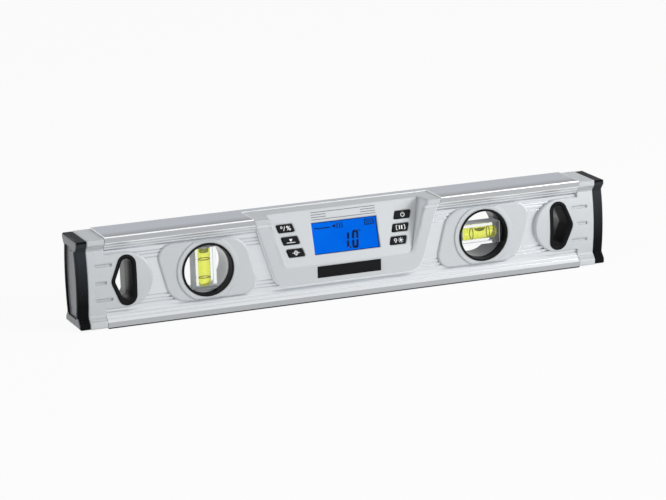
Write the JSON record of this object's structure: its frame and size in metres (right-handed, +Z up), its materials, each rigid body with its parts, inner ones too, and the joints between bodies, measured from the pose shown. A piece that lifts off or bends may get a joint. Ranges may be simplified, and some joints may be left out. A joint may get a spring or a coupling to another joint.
{
  "type": "digital spirit level",
  "caption": "Aluminium I-section spirit level with plumb and level vials, an electronic angle display with keys, hand holes and shock-absorbing end caps.",
  "frame": {"origin": "centre of the lower measuring face", "axes": "+X along the bar towards the level vial, +Y to the rear away from the display, +Z up"},
  "size_m": [0.4016, 0.034, 0.065],
  "materials": {
    "milled_aluminium": "milled and anodised",
    "silver_plastic": "satin",
    "black_rubber": "soft satin",
    "black_plastic": "semi-gloss",
    "grey_plastic": "satin",
    "clear_acrylic": "polished",
    "vial_liquid": "clear liquid",
    "vial_bubble": "air",
    "line_ink": "matt",
    "lcd_glass": "polished",
    "diffuser": "matt",
    "circuit_board": "satin",
    "component": "matt",
    "plated_steel": "plated",
    "cell_jacket": "printed film"
  },
  "bodies": {
    "level_body": {"aluminium_profile": "milled_aluminium", "backlight": "diffuser", "battery_contacts": "plated_steel", "battery_lower": "cell_jacket", "battery_upper": "cell_jacket", "buzzer": "component", "circuit_board": "circuit_board", "controller_chip": "component", "cover_screws": "plated_steel", "display_housing": "silver_plastic", "display_window": "clear_acrylic", "end_cap_left": "black_rubber", "end_cap_right": "black_rubber", "end_housing_left": "silver_plastic", "end_housing_right": "silver_plastic", "grip_liner_left_front": "black_plastic", "grip_liner_left_rear": "grey_plastic", "grip_liner_right_front": "black_plastic", "grip_liner_right_rear": "grey_plastic", "key_switches": "component", "lcd_panel": "lcd_glass", "level_barrel": "grey_plastic", "level_fluid": "vial_liquid", "level_lines": "line_ink", "level_plate_front": "silver_plastic", "level_plate_rear": "silver_plastic", "level_plug": "clear_acrylic", "level_ring_front": "black_plastic", "level_ring_rear": "grey_plastic", "level_vial": "clear_acrylic", "name_plate": "black_plastic", "plumb_barrel": "grey_plastic", "plumb_fluid": "vial_liquid", "plumb_lines": "line_ink", "plumb_plate_front": "silver_plastic", "plumb_plate_rear": "silver_plastic", "plumb_plug": "clear_acrylic", "plumb_ring_front": "black_plastic", "plumb_ring_rear": "grey_plastic", "plumb_vial": "clear_acrylic", "rear_cover": "silver_plastic", "tilt_sensor": "plated_steel"},
    "key_calibrate": {"key_calibrate": "black_plastic"},
    "key_hold": {"key_hold": "black_plastic"},
    "key_light": {"key_light": "black_plastic"},
    "key_power": {"key_power": "black_plastic"},
    "key_reference": {"key_reference": "black_plastic"},
    "key_unit": {"key_unit": "black_plastic"},
    "battery_door": {"battery_door": "silver_plastic"},
    "level_bubble": {"level_bubble": "vial_bubble"},
    "plumb_bubble": {"plumb_bubble": "vial_bubble"}
  },
  "joints": [
    {"name": "key_calibrate_press", "type": "slide", "parent": "level_body", "child": "key_calibrate", "axis": [0, 0.9602, -0.2794], "range_m": [0, 0.0005], "stiffness_N_per_m": 400},
    {"name": "key_hold_press", "type": "slide", "parent": "level_body", "child": "key_hold", "axis": [0, 0.9602, -0.2794], "range_m": [0, 0.0005], "stiffness_N_per_m": 400},
    {"name": "key_light_press", "type": "slide", "parent": "level_body", "child": "key_light", "axis": [0, 0.9602, -0.2794], "range_m": [0, 0.0005], "stiffness_N_per_m": 400},
    {"name": "key_power_press", "type": "slide", "parent": "level_body", "child": "key_power", "axis": [0, 0.9602, -0.2794], "range_m": [0, 0.0005], "stiffness_N_per_m": 400},
    {"name": "key_reference_press", "type": "slide", "parent": "level_body", "child": "key_reference", "axis": [0, 0.9602, -0.2794], "range_m": [0, 0.0005], "stiffness_N_per_m": 400},
    {"name": "key_unit_press", "type": "slide", "parent": "level_body", "child": "key_unit", "axis": [0, 0.9602, -0.2794], "range_m": [0, 0.0005], "stiffness_N_per_m": 400},
    {"name": "battery_door_hinge", "type": "hinge", "parent": "level_body", "child": "battery_door", "pos_m": [0, 0.0126, 0.01555], "axis": [-1, 0, 0], "range_deg": [0, 80]},
    {"name": "level_bubble_run", "type": "slide", "parent": "level_body", "child": "level_bubble", "axis": [1, 0, 0], "range_m": [-0.0094, 0.0052], "stiffness_N_per_m": 0.2},
    {"name": "plumb_bubble_run", "type": "slide", "parent": "level_body", "child": "plumb_bubble", "axis": [0, 0, 1], "range_m": [-0.0202, 0], "stiffness_N_per_m": 0.5, "springref_m": 0.004}
  ]
}
